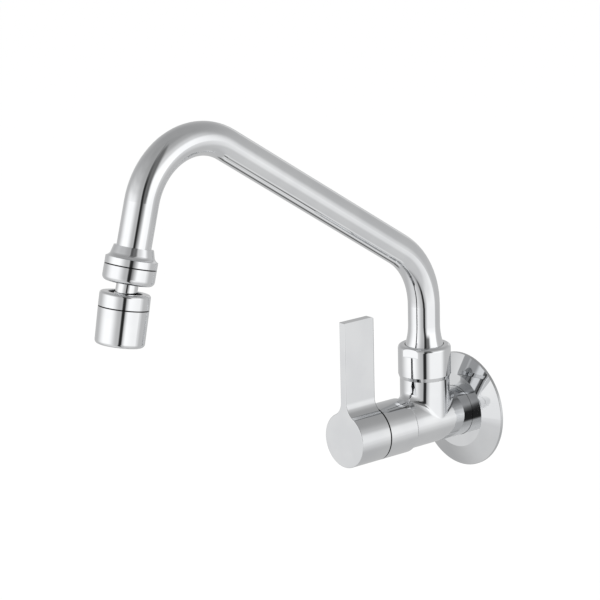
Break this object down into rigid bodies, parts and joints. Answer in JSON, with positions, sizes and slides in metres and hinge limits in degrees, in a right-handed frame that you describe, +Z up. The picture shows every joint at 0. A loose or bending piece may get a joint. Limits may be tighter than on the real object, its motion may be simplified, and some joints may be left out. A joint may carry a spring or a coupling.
{
  "type": "wall-mounted sink faucet",
  "caption": "Wall-mounted sink faucet with a lever in front, a bent swivel spout above and a tilting aerator on a ball joint.",
  "frame": {"origin": "on the axis of the horizontal valve body, in the plane of the wall", "axes": "+X to the right as one faces the wall, +Y into the wall along the threaded inlet tail, +Z up"},
  "size_m": [0.0696, 0.2896, 0.2381],
  "materials": {
    "chrome": "polished",
    "turned_brass": "turned",
    "stainless_steel": "plain",
    "black_rubber": "matte",
    "fibre_washer": "matte",
    "white_bearing_plastic": "matte",
    "grey_insert_plastic": "matte",
    "ceramic": "lapped",
    "plug_plastic": "polished"
  },
  "bodies": {
    "valve": {"valve_body": "chrome", "wall_flange": "chrome", "flange_o_ring": "black_rubber", "spout_nut": "chrome", "lower_slip_ring": "white_bearing_plastic", "upper_slip_ring": "white_bearing_plastic", "seat_seal": "black_rubber", "fixed_disc": "ceramic", "cartridge_housing": "turned_brass", "housing_o_ring": "black_rubber", "cartridge_sleeve": "chrome"},
    "handle": {"lever_handle": "chrome", "grub_screw": "stainless_steel", "grub_plug": "plug_plastic", "spindle": "turned_brass", "spindle_o_rings": "black_rubber", "spindle_circlip": "stainless_steel", "thrust_washer": "white_bearing_plastic", "moving_disc": "ceramic"},
    "spout": {"spout_tube": "chrome", "spout_foot": "turned_brass", "spout_o_rings": "black_rubber", "outlet_bell": "chrome", "connector_nut": "chrome", "connector_washer": "fibre_washer", "ball_stem": "chrome"},
    "liner": {"ball_liner": "white_bearing_plastic"},
    "seal": {"ball_seal": "black_rubber"},
    "aerator": {"socket_ring": "chrome", "seal_carrier": "white_bearing_plastic", "aerator_shell": "chrome", "aerator_washer": "black_rubber", "inlet_strainer": "stainless_steel", "aerator_insert": "grey_insert_plastic", "jet_plate": "grey_insert_plastic", "outlet_screens": "stainless_steel"}
  },
  "joints": [
    {"name": "handle_turn", "type": "hinge", "parent": "valve", "child": "handle", "pos_m": [0, 0, 0], "axis": [0, -1, 0], "range_deg": [0, 90]},
    {"name": "spout_swivel", "type": "hinge", "parent": "valve", "child": "spout", "pos_m": [0, -0.031, 0], "axis": [0, 0, 1], "range_deg": [-90, 90]},
    {"name": "aerator_tilt_fore", "type": "hinge", "parent": "spout", "child": "liner", "pos_m": [0, -0.25221, 0.11112], "axis": [1, 0, 0], "range_deg": [-16, 8]},
    {"name": "aerator_tilt_side", "type": "hinge", "parent": "liner", "child": "seal", "pos_m": [0, -0.25221, 0.11112], "axis": [0, -0.9816, 0.1908], "range_deg": [-12, 12]},
    {"name": "aerator_spin", "type": "hinge", "parent": "seal", "child": "aerator", "pos_m": [0, -0.25221, 0.11112], "axis": [0, -0.1908, -0.9816], "continuous": true}
  ]
}
